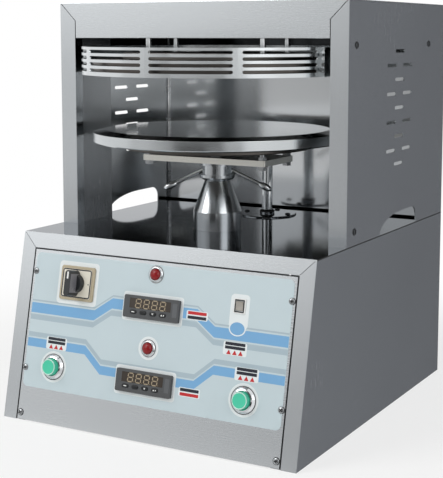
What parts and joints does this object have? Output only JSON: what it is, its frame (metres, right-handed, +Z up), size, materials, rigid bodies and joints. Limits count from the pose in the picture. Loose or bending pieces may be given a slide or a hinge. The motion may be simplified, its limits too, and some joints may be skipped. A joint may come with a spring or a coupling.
{
  "type": "pizza dough press",
  "caption": "Countertop press: a cam lifts a round heated plate on a column towards a fixed, guarded plate in a sheet-steel hood above a sloping control panel.",
  "frame": {"origin": "centre of the base's underside, with the cable gland left out", "axes": "+X to the right seen from the front, +Y to the back, +Z up; the control panel faces -Y"},
  "size_m": [0.4294, 0.5064, 0.54],
  "materials": {
    "satin_steel": "fine satin grain",
    "polished_sheet": "polished, mirrors what stands on it",
    "frame_steel": "plain rolled steel",
    "plate_steel": "turned and polished",
    "bright_steel": "turned and ground",
    "cam_steel": "hardened and ground",
    "heater_metal": "dull cast",
    "bright_fasteners": "bright zinc",
    "bronze": "bored bronze",
    "gear_case": "cast and painted grey",
    "motor_paint": "satin paint",
    "overlay_film": "printed polyester film",
    "black_plastic": "moulded",
    "case_plastic": "moulded, fine grain",
    "key_rubber": "soft keys",
    "smoked_window": "smoked, unlit",
    "tan_plastic": "moulded",
    "cream_plastic": "cream enamel",
    "control_chrome": "plated rims",
    "red_lens": "clear red",
    "green_cap": "moulded green"
  },
  "bodies": {
    "frame": {"base_side_left": "satin_steel", "base_side_right": "satin_steel", "deck": "polished_sheet", "base_floor": "satin_steel", "rear_cover": "satin_steel", "cable_gland": "black_plastic", "control_panel": "satin_steel", "panel_overlay": "overlay_film", "sheet_screws": "bright_fasteners", "hood_side_left": "satin_steel", "hood_side_right": "satin_steel", "hood_roof": "satin_steel", "hood_back_wall": "satin_steel", "uprights": "frame_steel", "top_beam": "frame_steel", "press_bed": "frame_steel", "upper_plate": "plate_steel", "upper_heater": "heater_metal", "upper_studs": "bright_fasteners", "guard_front": "satin_steel", "guard_rear": "satin_steel", "guard_bolts": "bright_fasteners", "ram_bush": "bronze", "guide_flange": "frame_steel", "gearbox": "gear_case", "gear_motor": "motor_paint", "shaft_bearing": "gear_case", "switch_base": "tan_plastic", "switch_plate": "cream_plastic", "controllers": "case_plastic", "controller_windows": "smoked_window", "lamp_rims": "control_chrome", "lamp_lenses": "red_lens", "button_rims": "control_chrome", "rocker_frame": "black_plastic"},
    "ram": {"ram": "bright_steel", "roller_pin": "bright_steel"},
    "roller": {"cam_roller": "cam_steel"},
    "carrier": {"bracket": "bright_steel", "lower_studs": "bright_fasteners", "lower_plate": "plate_steel", "lower_heater": "heater_metal", "guide_rod": "bright_steel"},
    "collar": {"setting_collar": "bright_steel", "collar_handles": "bright_steel"},
    "cam": {"cam": "cam_steel", "cam_shaft": "bright_steel"},
    "main_switch": {"switch_knob": "black_plastic"},
    "button_left": {"button_left": "green_cap"},
    "button_right": {"button_right": "green_cap"},
    "rocker": {"rocker": "tan_plastic"},
    "key_lower_1": {"key_lower_1": "key_rubber"},
    "key_lower_2": {"key_lower_2": "key_rubber"},
    "key_lower_3": {"key_lower_3": "key_rubber"},
    "key_lower_4": {"key_lower_4": "key_rubber"},
    "key_upper_1": {"key_upper_1": "key_rubber"},
    "key_upper_2": {"key_upper_2": "key_rubber"},
    "key_upper_3": {"key_upper_3": "key_rubber"},
    "key_upper_4": {"key_upper_4": "key_rubber"}
  },
  "joints": [
    {"name": "plate_lift", "type": "slide", "parent": "frame", "child": "ram", "axis": [0, 0, 1], "range_m": [0, 0.07]},
    {"name": "gap_set", "type": "slide", "parent": "ram", "child": "carrier", "axis": [0, 0, 1], "range_m": [0, 0.005]},
    {"name": "collar_turn", "type": "hinge", "parent": "carrier", "child": "collar", "pos_m": [0, -0.049, 0.3], "axis": [0, 0, 1], "range_deg": [0, 300]},
    {"name": "cam_turn", "type": "hinge", "parent": "frame", "child": "cam", "pos_m": [0, -0.049, 0.0995], "axis": [1, 0, 0], "range_deg": [0, 180]},
    {"name": "roller_spin", "type": "hinge", "parent": "ram", "child": "roller", "pos_m": [0, -0.049, 0.1398], "axis": [1, 0, 0], "continuous": true},
    {"name": "main_switch_turn", "type": "hinge", "parent": "frame", "child": "main_switch", "pos_m": [-0.118, -0.20488, 0.17979], "axis": [0, 0.9771, -0.2126], "range_deg": [0, 90]},
    {"name": "rocker_tilt", "type": "hinge", "parent": "frame", "child": "rocker", "pos_m": [0.119, -0.20405, 0.17654], "axis": [1, 0, 0], "range_deg": [-16, 0]},
    {"name": "button_left_press", "type": "slide", "parent": "frame", "child": "button_left", "axis": [0, 0.9771, -0.2126], "range_m": [0, 0.004], "stiffness_N_per_m": 300, "springref_m": -0.004},
    {"name": "button_right_press", "type": "slide", "parent": "frame", "child": "button_right", "axis": [0, 0.9771, -0.2126], "range_m": [0, 0.004], "stiffness_N_per_m": 300, "springref_m": -0.004},
    {"name": "key_lower_1_press", "type": "slide", "parent": "frame", "child": "key_lower_1", "axis": [0, 0.9771, -0.2126], "range_m": [0, 0.0005], "stiffness_N_per_m": 400, "springref_m": -0.0005},
    {"name": "key_lower_2_press", "type": "slide", "parent": "frame", "child": "key_lower_2", "axis": [0, 0.9771, -0.2126], "range_m": [0, 0.0005], "stiffness_N_per_m": 400, "springref_m": -0.0005},
    {"name": "key_lower_3_press", "type": "slide", "parent": "frame", "child": "key_lower_3", "axis": [0, 0.9771, -0.2126], "range_m": [0, 0.0005], "stiffness_N_per_m": 400, "springref_m": -0.0005},
    {"name": "key_lower_4_press", "type": "slide", "parent": "frame", "child": "key_lower_4", "axis": [0, 0.9771, -0.2126], "range_m": [0, 0.0005], "stiffness_N_per_m": 400, "springref_m": -0.0005},
    {"name": "key_upper_1_press", "type": "slide", "parent": "frame", "child": "key_upper_1", "axis": [0, 0.9771, -0.2126], "range_m": [0, 0.0005], "stiffness_N_per_m": 400, "springref_m": -0.0005},
    {"name": "key_upper_2_press", "type": "slide", "parent": "frame", "child": "key_upper_2", "axis": [0, 0.9771, -0.2126], "range_m": [0, 0.0005], "stiffness_N_per_m": 400, "springref_m": -0.0005},
    {"name": "key_upper_3_press", "type": "slide", "parent": "frame", "child": "key_upper_3", "axis": [0, 0.9771, -0.2126], "range_m": [0, 0.0005], "stiffness_N_per_m": 400, "springref_m": -0.0005},
    {"name": "key_upper_4_press", "type": "slide", "parent": "frame", "child": "key_upper_4", "axis": [0, 0.9771, -0.2126], "range_m": [0, 0.0005], "stiffness_N_per_m": 400, "springref_m": -0.0005}
  ],
  "couplings": [
    {"joint": "cam_turn", "follows": "plate_lift", "rad_per_m": 44.88},
    {"joint": "collar_turn", "follows": "gap_set", "rad_per_m": 1047.2}
  ]
}
